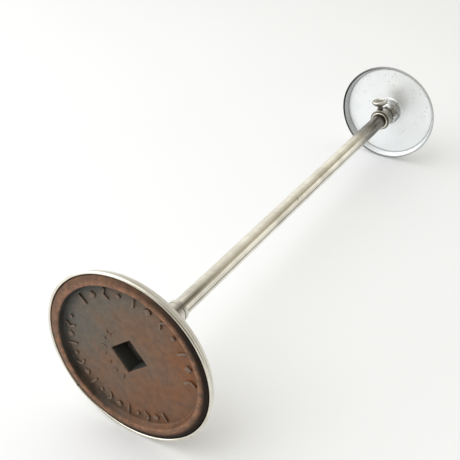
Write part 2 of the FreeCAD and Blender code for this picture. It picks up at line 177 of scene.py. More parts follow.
def smooth(piece, crease=35):
    """Smooth shading, with edges sharper than crease degrees kept."""
    piece.data.polygons.foreach_set("use_smooth", [True] * len(piece.data.polygons))
    piece.data.set_sharp_from_angle(angle=math.radians(crease))


def waver(piece, size, amount, seed=0.0):
    """Push the surface in and out by a slow noise, as spinning and use leave it. Millimetres."""
    for vertex in piece.data.vertices:
        place = vertex.co / (size * MM) + Vector((seed, seed * 0.7, seed * 1.3))
        across = Vector((vertex.co.x, vertex.co.y, 0)).normalized()
        vertex.co += across * noise.noise(place) * amount * MM


def dent(piece, centre, width, depth):
    """A shallow bruise. Everything in millimetres; the metal moves towards the axis."""
    middle = Vector(centre) * MM
    for vertex in piece.data.vertices:
        share = (vertex.co - middle).length / (width * MM)
        if share < 1:
            across = Vector((vertex.co.x, vertex.co.y, 0)).normalized()
            vertex.co -= across * depth * MM * (1 - share * share) ** 2


def soil_and_shade(piece, rule):
    """Store how much each point is darkened, from 0 to 1: real soiling, and painted shade and
    painted dark reflection where a rule puts them. The rule takes reach, rise and angle.
    """
    layer = piece.data.attributes.new("grime_and_shade", "FLOAT", "POINT")
    for vertex in piece.data.vertices:
        reach = Vector((vertex.co.x, vertex.co.y)).length / MM
        angle = math.atan2(vertex.co.y, vertex.co.x)
        layer.data[vertex.index].value = rule(reach, vertex.co.z / MM, angle)


def line(value, middle, half):
    """1 at the middle, 0 from half away."""
    return max(0.0, 1 - abs(value - middle) / half)


def climb(value, start, end):
    """0 up to start, 1 from end on, and even between."""
    return max(0.0, min(1.0, (value - start) / (end - start)))


def apply_modifiers(piece):
    """Turn a linked piece's modifiers into plain mesh."""
    bpy.context.view_layer.update()
    evaluated = piece.evaluated_get(bpy.context.evaluated_depsgraph_get())
    mesh = bpy.data.meshes.new_from_object(evaluated)
    piece.modifiers.clear()
    piece.data = mesh


def put(piece, body, material, slot, *nodes):
    """Finish a piece: link it, give it its material, and let it stand for CAD nodes on its body."""
    if piece.name not in bpy.context.scene.objects:
        bpy.context.scene.collection.objects.link(piece)
    if material:
        piece.data.materials.clear()
        piece.data.materials.append(material)
    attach(piece, body)
    if nodes:
        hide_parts(*nodes)


# ---------------------------------------------------------------- materials

def linear(hex_colour):
    """An sRGB hex colour as linear RGBA."""
    parts = [int(hex_colour[i:i + 2], 16) / 255 for i in (1, 3, 5)]
    light = [c / 12.92 if c <= 0.04045 else ((c + 0.055) / 1.055) ** 2.4 for c in parts]
    return (*light, 1.0)


def add(tree, kind, sockets=None, **settings):
    """Add a node: settings are its own properties, and sockets gives a value or a link by input."""
    made = tree.nodes.new(kind)
    for name, value in settings.items():
        setattr(made, name, value)
    for name, value in (sockets or {}).items():
        if isinstance(value, bpy.types.NodeSocket):
            tree.links.new(value, made.inputs[name])
        else:
            made.inputs[name].default_value = value
    return made


def new_material(name):
    """An empty node material, its tree and its output node."""
    material = bpy.data.materials.new(name)
    material.use_nodes = True
    material.node_tree.nodes.clear()
    return material, material.node_tree, material.node_tree.nodes.new("ShaderNodeOutputMaterial")


def per_mm(size):
    """Texture scale at which one unit of the pattern is size millimetres across."""
    return 1 / (size * MM)


def stops(ramp, *pairs):
    """Set a colour ramp's stops from (position, colour) pairs."""
    elements = ramp.color_ramp.elements
    while len(elements) < len(pairs):
        elements.new(0.5)
    for element, (position, colour) in zip(elements, pairs):
        element.position = position
        element.color = colour if len(colour) == 4 else (*colour, 1)
    return ramp


BROWN_PIT = "#4a443a"
# Colour of old soiling, and of painted shade and painted dark reflection, on the plate.
DIRT_AND_SHADE_BROWN = "#2b261d"


def nickel_plate(name, bright="#d9d5c9", tarnish="#8d8672", pits=0.0, rough=0.16, haze=0.12,
                 freckles=4.2, heavy_side=(0.0, 0.0), metal=1.0):
    """Nickel electroplate on spun brass, polished once and touched by hands for a century: a warm
    grey mirror, hazed in patches, with brown freckles where the plate has pitted. freckles is the
    spacing of the places where one may be, in millimetres, and heavy_side is how much likelier
    one is per millimetre along X and Y. A stored darkening per point lays old soiling over all,
    and painted shade and painted dark reflections where the pieces put them."""
    material, tree, output = new_material(name)
    place = add(tree, "ShaderNodeTexCoord").outputs["Object"]
    cloud = add(tree, "ShaderNodeTexNoise", {
        "Vector": place, "Scale": per_mm(22), "Detail": 5.0, "Roughness": 0.6})
    clouded = stops(add(tree, "ShaderNodeValToRGB", {"Fac": cloud.outputs["Fac"]}),
                  (0.38, (0, 0, 0)), (0.72, (1, 1, 1)))
    fine = add(tree, "ShaderNodeTexNoise", {
        "Vector": place, "Scale": per_mm(1.6), "Detail": 4.0, "Roughness": 0.7})
    cells = add(tree, "ShaderNodeTexVoronoi", {
        "Vector": place, "Scale": per_mm(freckles), "Randomness": 1.0})
    lean = add(tree, "ShaderNodeVectorMath", {
        0: place, 1: (heavy_side[0] / MM, heavy_side[1] / MM, 0)}, operation="DOT_PRODUCT")
    chance = add(tree, "ShaderNodeSeparateColor", {"Color": cells.outputs["Color"]})
    allowed = add(tree, "ShaderNodeMath", {
        0: chance.outputs["Red"], 1: lean.outputs["Value"]}, operation="ADD")
    chosen = add(tree, "ShaderNodeMath", {
        0: allowed.outputs[0], 1: 1.0 - pits}, operation="GREATER_THAN")
    shrink = add(tree, "ShaderNodeMath", {
        0: chance.outputs["Blue"], 1: 1.7, 2: 0.4}, operation="MULTIPLY_ADD")
    apart = add(tree, "ShaderNodeMath", {
        0: cells.outputs["Distance"], 1: shrink.outputs[0]}, operation="MULTIPLY")
    spot = add(tree, "ShaderNodeMapRange", {
        "Value": apart.outputs[0], "From Min": 0.08, "From Max": 0.23, "To Min": 0.8,
        "To Max": 0.0})
    freckle = add(tree, "ShaderNodeMath", {
        0: chosen.outputs[0], 1: spot.outputs["Result"]}, operation="MULTIPLY")
    small = add(tree, "ShaderNodeTexNoise", {"Vector": place, "Scale": per_mm(0.9), "Detail": 2.0})
    speck = add(tree, "ShaderNodeMapRange", {
        "Value": small.outputs["Fac"], "From Min": 0.63, "From Max": 0.72, "To Min": 0.0,
        "To Max": pits})
    marks = add(tree, "ShaderNodeMath", {
        0: freckle.outputs[0], 1: speck.outputs["Result"]}, operation="MAXIMUM", use_clamp=True)
    plated = add(tree, "ShaderNodeMix", {
        "Factor": clouded.outputs["Color"], 6: linear(bright), 7: linear(tarnish)}, data_type="RGBA")
    plated_less = add(tree, "ShaderNodeMix", {
        "Factor": 0.45, 6: linear(bright), 7: plated.outputs[2]}, data_type="RGBA")
    spotted = add(tree, "ShaderNodeMix", {
        "Factor": marks.outputs[0], 6: plated_less.outputs[2], 7: linear(BROWN_PIT)},
        data_type="RGBA")
    # How dark each point is made: old soiling, painted shade and painted dark reflection.
    dirt_and_shade = add(tree, "ShaderNodeAttribute", attribute_name="grime_and_shade").outputs["Fac"]
    colour = add(tree, "ShaderNodeMix", {
        "Factor": dirt_and_shade, 6: spotted.outputs[2], 7: linear(DIRT_AND_SHADE_BROWN)}, data_type="RGBA")
    dull = add(tree, "ShaderNodeMapRange", {
        "Value": clouded.outputs["Color"], "To Min": rough, "To Max": rough + haze})
    pits_dirt_and_shade = add(tree, "ShaderNodeMath", {0: marks.outputs[0], 1: dirt_and_shade}, operation="MAXIMUM")
    duller = add(tree, "ShaderNodeMath", {
        0: pits_dirt_and_shade.outputs[0], 1: 0.35, 2: dull.outputs["Result"]}, operation="MULTIPLY_ADD",
        use_clamp=True)
    relief = add(tree, "ShaderNodeMath", {
        0: marks.outputs[0], 1: -1.2, 2: fine.outputs["Fac"]}, operation="MULTIPLY_ADD")
    bump = add(tree, "ShaderNodeBump", {
        "Height": relief.outputs[0], "Strength": 0.12, "Distance": 0.06 * MM})
    shader = add(tree, "ShaderNodeBsdfPrincipled", {
        "Base Color": colour.outputs[2], "Metallic": metal, "Roughness": duller.outputs[0],
        "Normal": bump.outputs["Normal"]})
    tree.links.new(shader.outputs[0], output.inputs["Surface"])
    return material


def patinated_iron():
    """Sand-cast iron with a brown patina over a copper wash: satin, mottled, grey-green to copper
    brown across the field, and worn to bright brown on the rim. Painted shade, over some old
    soiling, darkens the recess wall, and painted shade darkens the turned-under outer edge, each
    most where it faces away from the light; deep in the pocket the iron is a darker grey. The
    casting's sand grain is drawn about twice as coarse as it is, so that it shows."""
    material, tree, output = new_material("patinated cast iron")
    place = add(tree, "ShaderNodeTexCoord").outputs["Object"]
    split = add(tree, "ShaderNodeSeparateXYZ", {"Vector": place})
    flat = add(tree, "ShaderNodeVectorMath", {0: place, 1: (1, 1, 0)}, operation="MULTIPLY")
    reach = add(tree, "ShaderNodeVectorMath", {0: flat.outputs["Vector"]}, operation="LENGTH")
    slow = add(tree, "ShaderNodeTexNoise", {
        "Vector": place, "Scale": per_mm(26), "Detail": 4.0, "Roughness": 0.62, "Distortion": 0.6})
    mottle = add(tree, "ShaderNodeTexNoise", {
        "Vector": place, "Scale": per_mm(5), "Detail": 6.0, "Roughness": 0.68})
    grain = add(tree, "ShaderNodeTexNoise", {
        "Vector": place, "Scale": per_mm(0.9), "Detail": 3.0, "Roughness": 0.7})
    away_from_light = (0.72 / (50 * MM), 0.55 / (50 * MM), 0)     # the side away from the light
    side = add(tree, "ShaderNodeVectorMath", {0: place, 1: away_from_light}, operation="DOT_PRODUCT")
    drift = add(tree, "ShaderNodeMath", {
        0: slow.outputs["Fac"], 1: 0.7, 2: 0.19}, operation="MULTIPLY_ADD")
    warmth = add(tree, "ShaderNodeMath", {
        0: side.outputs["Value"], 1: 0.24, 2: drift.outputs[0]}, operation="MULTIPLY_ADD")
    field = stops(add(tree, "ShaderNodeValToRGB", {"Fac": warmth.outputs[0]}),
                  (0.22, linear("#636057")), (0.42, linear("#6d5e4f")), (0.60, linear("#7b5a42")),
                  (0.80, linear("#84532e")))
    blotch = stops(add(tree, "ShaderNodeValToRGB", {"Fac": mottle.outputs["Fac"]}),
                   (0.34, linear("#757575")), (0.62, linear("#ffffff")))
    mixed = add(tree, "ShaderNodeMix", {
        "Factor": 0.5, 6: field.outputs["Color"], 7: blotch.outputs["Color"]}, data_type="RGBA",
        blend_type="MULTIPLY")
    pit = add(tree, "ShaderNodeMapRange", {
        "Value": grain.outputs["Fac"], "From Min": 0.37, "From Max": 0.29, "To Min": 0.0,
        "To Max": 0.6})
    pitted = add(tree, "ShaderNodeMix", {
        "Factor": pit.outputs["Result"], 6: mixed.outputs[2], 7: linear("#2e2924")},
        data_type="RGBA")
    inside = add(tree, "ShaderNodeMapRange", {
        "Value": reach.outputs["Value"], "From Min": (RECESS_EDGE - 1.3) * MM,
        "From Max": (RECESS_EDGE - 2.3) * MM})
    raised = add(tree, "ShaderNodeMapRange", {
        "Value": split.outputs["Z"], "From Min": (RECESS - 0.4) * MM,
        "From Max": (RECESS - 1.0) * MM})
    on_mark = add(tree, "ShaderNodeMath", {
        0: raised.outputs["Result"], 1: inside.outputs["Result"]}, operation="MULTIPLY")
    rubbed = add(tree, "ShaderNodeMix", {
        "Factor": on_mark.outputs[0], 6: pitted.outputs[2], 7: linear("#786455")}, data_type="RGBA")
    rim = add(tree, "ShaderNodeMapRange", {
        "Value": reach.outputs["Value"], "From Min": (RIM_INNER - 0.7) * MM,
        "From Max": (RIM_INNER + 0.2) * MM})
    rim_colour = stops(add(tree, "ShaderNodeValToRGB", {"Fac": mottle.outputs["Fac"]}),
                       (0.36, linear("#5a402c")), (0.64, linear("#986c4f")))
    with_rim = add(tree, "ShaderNodeMix", {
        "Factor": rim.outputs["Result"], 6: rubbed.outputs[2], 7: rim_colour.outputs["Color"]},
        data_type="RGBA")
    # Painted shade on the turned-under outer edge, darkest where it faces away from the light.
    turned_under = add(tree, "ShaderNodeMapRange", {
        "Value": reach.outputs["Value"], "From Min": (RIM_OUTER - 0.4) * MM,
        "From Max": (RIM_OUTER + 2.4) * MM})
    edge_shade_by_side = add(tree, "ShaderNodeMapRange", {
        "Value": side.outputs["Value"], "From Min": -0.6, "From Max": 0.5, "To Min": 0.38,
        "To Max": 0.97})
    edge_shade = add(tree, "ShaderNodeMath", {
        0: turned_under.outputs["Result"], 1: edge_shade_by_side.outputs["Result"]}, operation="MULTIPLY")
    outer_edge = add(tree, "ShaderNodeMix", {
        "Factor": edge_shade.outputs[0], 6: with_rim.outputs[2], 7: linear("#1c130b")}, data_type="RGBA")
    # Painted shade, over some old soiling, on the recess wall and just inside it: light all round,
    # and full where the wall faces away from the light.
    wall = stops(add(tree, "ShaderNodeValToRGB", {"Fac": add(
        tree, "ShaderNodeMapRange", {"Value": reach.outputs["Value"],
                                     "From Min": (RECESS_EDGE - 7.7) * MM,
                                     "From Max": (RECESS_EDGE + 2.3) * MM}).outputs["Result"]}),
        (0.0, (0, 0, 0)), (0.35, (0.3, 0.3, 0.3)), (0.60, (0.75, 0.75, 0.75)),
        (0.74, (0.98, 0.98, 0.98)), (0.91, (0.98, 0.98, 0.98)), (0.97, (0, 0, 0)))
    shaded_wall_side = add(tree, "ShaderNodeMapRange", {
        "Value": side.outputs["Value"], "From Min": 0.7, "From Max": -0.5, "To Min": 0.15,
        "To Max": 1.0})
    patchy = add(tree, "ShaderNodeMapRange", {
        "Value": mottle.outputs["Fac"], "From Min": 0.3, "From Max": 0.6, "To Min": 1.0,
        "To Max": 0.8})
    darkening = add(tree, "ShaderNodeMath", {
        0: shaded_wall_side.outputs["Result"], 1: patchy.outputs["Result"]}, operation="MULTIPLY")
    wall_dirt_and_shade = add(tree, "ShaderNodeMath", {
        0: wall.outputs["Color"], 1: darkening.outputs[0]}, operation="MULTIPLY")
    ring = add(tree, "ShaderNodeMix", {
        "Factor": wall_dirt_and_shade.outputs[0], 6: outer_edge.outputs[2], 7: linear("#1e1d19")},
        data_type="RGBA")
    # Deeper than the recess floor, in the pocket and over the back, the iron turns a darker grey.
    pocket = add(tree, "ShaderNodeMapRange", {
        "Value": split.outputs["Z"], "From Min": (RECESS + 0.3) * MM,
        "From Max": (RECESS + 1.2) * MM})
    dirt_and_shade = add(tree, "ShaderNodeMix", {
        "Factor": pocket.outputs["Result"], 6: ring.outputs[2], 7: linear("#4b4c49")},
        data_type="RGBA")
    satin = add(tree, "ShaderNodeMapRange", {
        "Value": mottle.outputs["Fac"], "From Min": 0.3, "From Max": 0.7, "To Min": 0.36,
        "To Max": 0.62})
    rough = add(tree, "ShaderNodeMath", {
        0: edge_shade.outputs[0], 1: 0.45, 2: satin.outputs["Result"]}, operation="MULTIPLY_ADD",
        use_clamp=True)
    height = add(tree, "ShaderNodeMath", {
        0: mottle.outputs["Fac"], 1: 1.6, 2: grain.outputs["Fac"]}, operation="MULTIPLY_ADD")
    bump = add(tree, "ShaderNodeBump", {
        "Height": height.outputs[0], "Strength": 0.55, "Distance": 0.25 * MM})
    shader = add(tree, "ShaderNodeBsdfPrincipled", {
        "Base Color": dirt_and_shade.outputs[2], "Metallic": 0.3, "Roughness": rough.outputs[0],
        "Normal": bump.outputs["Normal"]})
    tree.links.new(shader.outputs[0], output.inputs["Surface"])
    return material


def plain_steel(name, bright="#7d7a74", rust="#5a3d2a", rusting=0.5, rough=0.38):
    """Unplated mild steel, turned or drawn: a soft grey gloss, dulled by thin brown rust."""
    material, tree, output = new_material(name)
    place = add(tree, "ShaderNodeTexCoord").outputs["Object"]
    patch = add(tree, "ShaderNodeTexNoise", {
        "Vector": place, "Scale": per_mm(4), "Detail": 5.0, "Roughness": 0.65})
    cover = add(tree, "ShaderNodeMapRange", {
        "Value": patch.outputs["Fac"], "From Min": 0.42, "From Max": 0.66, "To Min": 0.0,
        "To Max": rusting})
    colour = add(tree, "ShaderNodeMix", {
        "Factor": cover.outputs["Result"], 6: linear(bright), 7: linear(rust)}, data_type="RGBA")
    dull = add(tree, "ShaderNodeMapRange", {
        "Value": cover.outputs["Result"], "To Min": rough, "To Max": 0.8})
    bump = add(tree, "ShaderNodeBump", {
        "Height": patch.outputs["Fac"], "Strength": 0.25, "Distance": 0.1 * MM})
    shader = add(tree, "ShaderNodeBsdfPrincipled", {
        "Base Color": colour.outputs[2], "Metallic": 0.9, "Roughness": dull.outputs["Result"],
        "Normal": bump.outputs["Normal"]})
    tree.links.new(shader.outputs[0], output.inputs["Surface"])
    return material


def dull_brass():
    """Turned brass that has gone brown in the air: yellow under a thin, uneven brown."""
    material, tree, output = new_material("dull brass")
    place = add(tree, "ShaderNodeTexCoord").outputs["Object"]
    patch = add(tree, "ShaderNodeTexNoise", {"Vector": place, "Scale": per_mm(3), "Detail": 4.0})
    colour = add(tree, "ShaderNodeMix", {
        "Factor": patch.outputs["Fac"], 6: linear("#b3924f"), 7: linear("#77592c")},
        data_type="RGBA")
    dull = add(tree, "ShaderNodeMapRange", {
        "Value": patch.outputs["Fac"], "To Min": 0.25, "To Max": 0.5})
    shader = add(tree, "ShaderNodeBsdfPrincipled", {
        "Base Color": colour.outputs[2], "Metallic": 1.0, "Roughness": dull.outputs["Result"]})
    tree.links.new(shader.outputs[0], output.inputs["Surface"])
    return material


def painted_board():
    """Brushed matt white paint on a board. Its back is clear, so that it never hides the stand."""
    material, tree, output = new_material("white painted board")
    place = add(tree, "ShaderNodeTexCoord").outputs["Object"]
    patch = add(tree, "ShaderNodeTexNoise", {"Vector": place, "Scale": per_mm(250), "Detail": 3.0})
    colour = add(tree, "ShaderNodeMix", {
        "Factor": patch.outputs["Fac"], 6: linear("#eceef1"), 7: linear("#e8eaed")},
        data_type="RGBA")
    paint = add(tree, "ShaderNodeBsdfPrincipled", {
        "Base Color": colour.outputs[2], "Roughness": 0.7})
    back = add(tree, "ShaderNodeNewGeometry").outputs["Backfacing"]
    clear = add(tree, "ShaderNodeBsdfTransparent")
    both = add(tree, "ShaderNodeMixShader", {0: back, 1: paint.outputs[0], 2: clear.outputs[0]})
    tree.links.new(both.outputs[0], output.inputs["Surface"])
    return material


# ---------------------------------------------------------------- the base

def base_cover(material):
    """Spun shell: wire-rolled lip, leaning wall, low shoulder, trumpet sweep and open neck."""
    lip = 1.0
    edge = BASE_REACH
    neck = 9.0
    shoulder = (edge - 2.32, COVER_LOW + 6.65)
    sweep_start = (38.5, COVER_LOW + 13.36)
    outside = rounded([
        (edge - 2 * lip - 0.1, COVER_LOW + 2.6, 0), (edge - 2 * lip, COVER_LOW, lip),
        (edge, COVER_LOW, lip), (edge, COVER_LOW + 1.25, 0.8), (edge - 0.55, COVER_LOW + 2.3, 0.6),
        (*shoulder, 2.4), (*sweep_start, 0),
    ], step=2.0, closed=False)
    inside = rounded([
        (sweep_start[0] - 0.25, sweep_start[1] - SHEET, 0),
        (shoulder[0] - SHEET, shoulder[1] - SHEET * 1.1, 1.6),
        (edge - 2 * lip - 0.1, COVER_LOW + 2.6, 0),
    ], step=2.0, closed=False)
    outline = outside + bow(sweep_start, (neck, COVER_TOP), 43.4, 2.0)
    outline += [Vector((neck, COVER_TOP)), Vector((neck - SHEET, COVER_TOP))]
    outline += bow((neck - SHEET, COVER_TOP), inside[0], -44.2, 2.0) + inside[:-1]
    piece = turned("base_cover_spun", outline, turns=192)

    def darkening(reach, rise, angle):
        # Painted shade in the crease above the rolled lip; darker on the near side towards the rim,
        # and darker towards the neck.
        under_lip = line(rise, COVER_LOW + 2.4, 0.5) * (reach > edge - 1.6) * 0.6
        toe = line(math.degrees(angle), NEAR_SIDE - 5, 38) * line(reach, edge - 4, 12) * 0.4
        foot = climb(rise, 30, 46) * 0.42
        return max(under_lip, toe, foot)

    soil_and_shade(piece, darkening)
    waver(piece, 38, 0.06, seed=3.1)
    smooth(piece)
    put(piece, "stand", material, "nickel_plate", "base_cover")


def base_weight(material):
    """Cast disc: rounded rim, shallow recess, square pocket with worn edges, and a boss."""
    hole = 5.3
    pocket = 9.5
    roof = 24.0
    land_outer = (RIM_OUTER, 0.0)
    rim_edge = (WEIGHT_REACH, 1.6)
    field = [(pocket + 0.45 + 1.0 * k, RECESS) for k in range(39)]
    wall = rounded([(48.0, RECESS, 0), (RECESS_EDGE, RECESS, 1.4), (RIM_INNER, 0.0, 1.5),
                    (*land_outer, 0)], step=0.7, closed=False)
    rim = [Vector(land_outer)] + bow(land_outer, rim_edge, -8.0, 0.7)
    back = rounded([
        (*rim_edge, 0), (WEIGHT_REACH, 4.4, 0.3), (WEIGHT_REACH - 1.8, 6.0, 0.6), (40, 11.0, 4.0),
        (24, 18.5, 8.0), (16, WEIGHT_TOP - 2.0, 2.0), (15, WEIGHT_TOP, 0.4), (hole, WEIGHT_TOP, 0),
    ], step=1.4, closed=False)
    shaft = [(hole, roof), (pocket, roof), (pocket, roof - 6), (pocket, roof - 12),
             (pocket, RECESS + 2.4), (pocket + 0.02, RECESS + 0.7), (pocket + 0.16, RECESS + 0.22)]
    outline = [Vector(p) for p in shaft + field] + wall[:-1] + rim + back
    shares = []
    for i, (reach, rise) in enumerate(outline):
        fade = max(0.0, 1 - (reach - pocket) / 9.0) if reach < 20 and rise < RECESS + 0.1 else 0.0
        shares.append(1.0 if 1 <= i < len(shaft) else fade if i else 0.0)
    piece = turned("base_weight_cast", outline, turns=256, squareness=shares, turn=POCKET_TURN)
    for vertex in piece.data.vertices:
        under = vertex.co.z < 5.2 * MM
        rough_cast = noise.fractal(vertex.co / (7 * MM), 0.8, 2.1, 4) * (0.09 if under else 0.3)
        land = min(1.0, vertex.co.z / (0.6 * MM))
        vertex.co.z += rough_cast * MM * land
    smooth(piece, 50)
    put(piece, "stand", material, "cast_iron", "base_weight")


def marks_tree(material):
    """Geometry Nodes: raised marks along an arc, in turn a dot, a chevron, a lozenge and a bar."""
    tree = bpy.data.node_groups.new("cast marks", "GeometryNodeTree")
    tree.interface.new_socket("Geometry", in_out="OUTPUT", socket_type="NodeSocketGeometry")
    for name, kind, value in [("Count", "NodeSocketInt", 10), ("First", "NodeSocketFloat", 0.0),
                              ("Step", "NodeSocketFloat", 0.2), ("Reach", "NodeSocketFloat", 0.045),
                              ("Level", "NodeSocketFloat", 0.004),
                              ("Mark height", "NodeSocketFloat", 0.007),
                              ("Stroke", "NodeSocketFloat", 0.0015),
                              ("Relief", "NodeSocketFloat", 0.001)]:
        tree.interface.new_socket(name, in_out="INPUT", socket_type=kind).default_value = value
    given = add(tree, "NodeGroupInput").outputs
    output = add(tree, "NodeGroupOutput")

    size = {}
    for part, share in (("arm", 0.62), ("leg_out", 0.26), ("leg_in", -0.26), ("lozenge", 0.34),
                        ("dot", 0.18)):
        size[part] = add(tree, "ShaderNodeMath", {
            0: given["Mark height"], 1: share}, operation="MULTIPLY").outputs[0]
    bar = add(tree, "GeometryNodeMeshCube", {"Size": add(tree, "ShaderNodeCombineXYZ", {
        0: given["Mark height"], 1: given["Stroke"], 2: given["Relief"]}).outputs[0]})
    arm = add(tree, "GeometryNodeMeshCube", {"Size": add(tree, "ShaderNodeCombineXYZ", {
        0: size["arm"], 1: given["Stroke"], 2: given["Relief"]}).outputs[0]})
    chevron = add(tree, "GeometryNodeJoinGeometry")
    for turn, shift in ((0.62, "leg_out"), (-0.62, "leg_in")):
        leg = add(tree, "GeometryNodeTransform", {
            "Geometry": arm.outputs["Mesh"],
            "Translation": add(tree, "ShaderNodeCombineXYZ", {0: size[shift]}).outputs[0],
            "Rotation": (0, 0, turn)})
        tree.links.new(leg.outputs[0], chevron.inputs[0])
    lozenge = add(tree, "GeometryNodeMeshCylinder", {
        "Vertices": 4, "Radius": size["lozenge"], "Depth": given["Relief"]})
    dot = add(tree, "GeometryNodeMeshCylinder", {
        "Vertices": 18, "Radius": size["dot"], "Depth": given["Relief"]})
    choices = add(tree, "GeometryNodeGeometryToInstance")
    for part in (dot, chevron, lozenge, bar):
        tree.links.new(part.outputs[0], choices.inputs[0])
    index = add(tree, "GeometryNodeInputIndex").outputs[0]
    angle = add(tree, "ShaderNodeMath", {
        0: index, 1: given["Step"], 2: given["First"]}, operation="MULTIPLY_ADD").outputs[0]
    east = add(tree, "ShaderNodeMath", {0: angle}, operation="COSINE").outputs[0]
    north = add(tree, "ShaderNodeMath", {0: angle}, operation="SINE").outputs[0]
    place = add(tree, "ShaderNodeCombineXYZ", {
        0: add(tree, "ShaderNodeMath", {
            0: east, 1: given["Reach"]}, operation="MULTIPLY").outputs[0],
        1: add(tree, "ShaderNodeMath", {
            0: north, 1: given["Reach"]}, operation="MULTIPLY").outputs[0],
        2: given["Level"]})
    points = add(tree, "GeometryNodePoints", {
        "Count": given["Count"], "Position": place.outputs[0]})
    which = add(tree, "ShaderNodeMath", {0: index, 1: 4.0}, operation="MODULO")
    placed = add(tree, "GeometryNodeInstanceOnPoints", {
        "Points": points.outputs[0], "Instance": choices.outputs[0], "Pick Instance": True,
        "Instance Index": which.outputs[0],
        "Rotation": add(tree, "ShaderNodeCombineXYZ", {2: angle}).outputs[0]})
    real = add(tree, "GeometryNodeRealizeInstances", {0: placed.outputs[0]})
    finished = add(tree, "GeometryNodeSetMaterial", {
        "Geometry": real.outputs[0], "Material": material})
    tree.links.new(finished.outputs[0], output.inputs[0])
    return tree


def from_tree(name, tree, **values):
    """Run a Geometry Nodes tree and keep its result as a plain mesh piece."""
    piece = bpy.data.objects.new(name, bpy.data.meshes.new(name))
    bpy.context.scene.collection.objects.link(piece)
    modifier = piece.modifiers.new("make", "NODES")
    modifier.node_group = tree
    for item in tree.interface.items_tree:
        if item.in_out == "INPUT" and item.name.lower().replace(" ", "_") in values:
            modifier[item.identifier] = values[item.name.lower().replace(" ", "_")]
    apply_modifiers(piece)
    return piece


def cast_marks(material):
    """Two arcs of plain marks in the recess, and a short arc of smaller ones beside the pocket."""
    tree = marks_tree(material)
    level = (RECESS + 0.05) * MM
    for name, count, first, step, reach, height in [
            ("cast_marks_wide", 11, 236, 13.5, 45.2, 8.0),
            ("cast_marks_close", 16, 68, 9.4, 45.4, 7.2),
            ("cast_marks_small", 7, 118, 19.0, 19.5, 4.4)]:
        piece = from_tree(name, tree, count=count, first=math.radians(first),
                          step=math.radians(step), reach=reach * MM, mark_height=height * MM,
                          stroke=height * 0.2 * MM, relief=height * 0.3 * MM, level=level)
        soften(piece, 0.26)
        put(piece, "stand", None, "cast_iron")


def soften(piece, width):
    """Round a piece's edges by width millimetres, applied to its mesh."""
    bevel = piece.modifiers.new("round edges", "BEVEL")
    bevel.width = width * MM
    bevel.segments = 2
    apply_modifiers(piece)
    smooth(piece, 60)


def foot_nut(material):
    """Square nut up in the pocket."""
    low, high = levels_of("foot_nut")
    corners = [(4.9, low, 0.3), (8.8, low, 0.5), (8.8, high, 0.5), (4.9, high, 0.3)]
    outline = rounded(corners, step=3)
    shares = [climb(p.x, 6.0, 8.0) for p in outline]
    piece = turned("foot_nut_square", outline, turns=64, squareness=shares, turn=POCKET_TURN)
    smooth(piece, 30)
    put(piece, "stand", material, "plain_steel", "foot_nut")


def foot_ferrule(material):
    """Flared ring with a bead, at the foot of the tube."""
    low, high = levels_of("foot_ferrule")
    reach = reach_of("foot_ferrule")
    bore = TUBE_REACH + 0.05
    corners = [
        (bore, low + 1.6, 0), (reach - 1.0, low + 1.6, 0), (reach - 1.0, low, 0.2),
        (reach, low, 0.3), (reach, low + 0.9, 0.3), (reach - 2.5, low + 4.8, 12),
        (bore + 1.0, high - 3.6, 0.3), (bore + 1.35, high - 3.3, 0.3),
        (bore + 1.35, high - 0.3, 1.0), (bore + 0.2, high, 0.2), (bore, high, 0),
    ]
    piece = turned("foot_ferrule_turned", rounded(corners, step=1.0), turns=128)

    def darkening(reach, rise, angle):
        # Painted shade in the groove by the tube, and a darker band down the near side.
        groove = line(rise, high - 3.5, 1.0) * (reach < bore + 1.3) * 0.7
        near_side_band = line(math.degrees(angle), NEAR_SIDE, 34) * 0.8
        return max(groove, near_side_band * (reach > bore + 0.3))

    soil_and_shade(piece, darkening)
    smooth(piece)
    put(piece, "stand", material, "nickel_plate", "foot_ferrule")


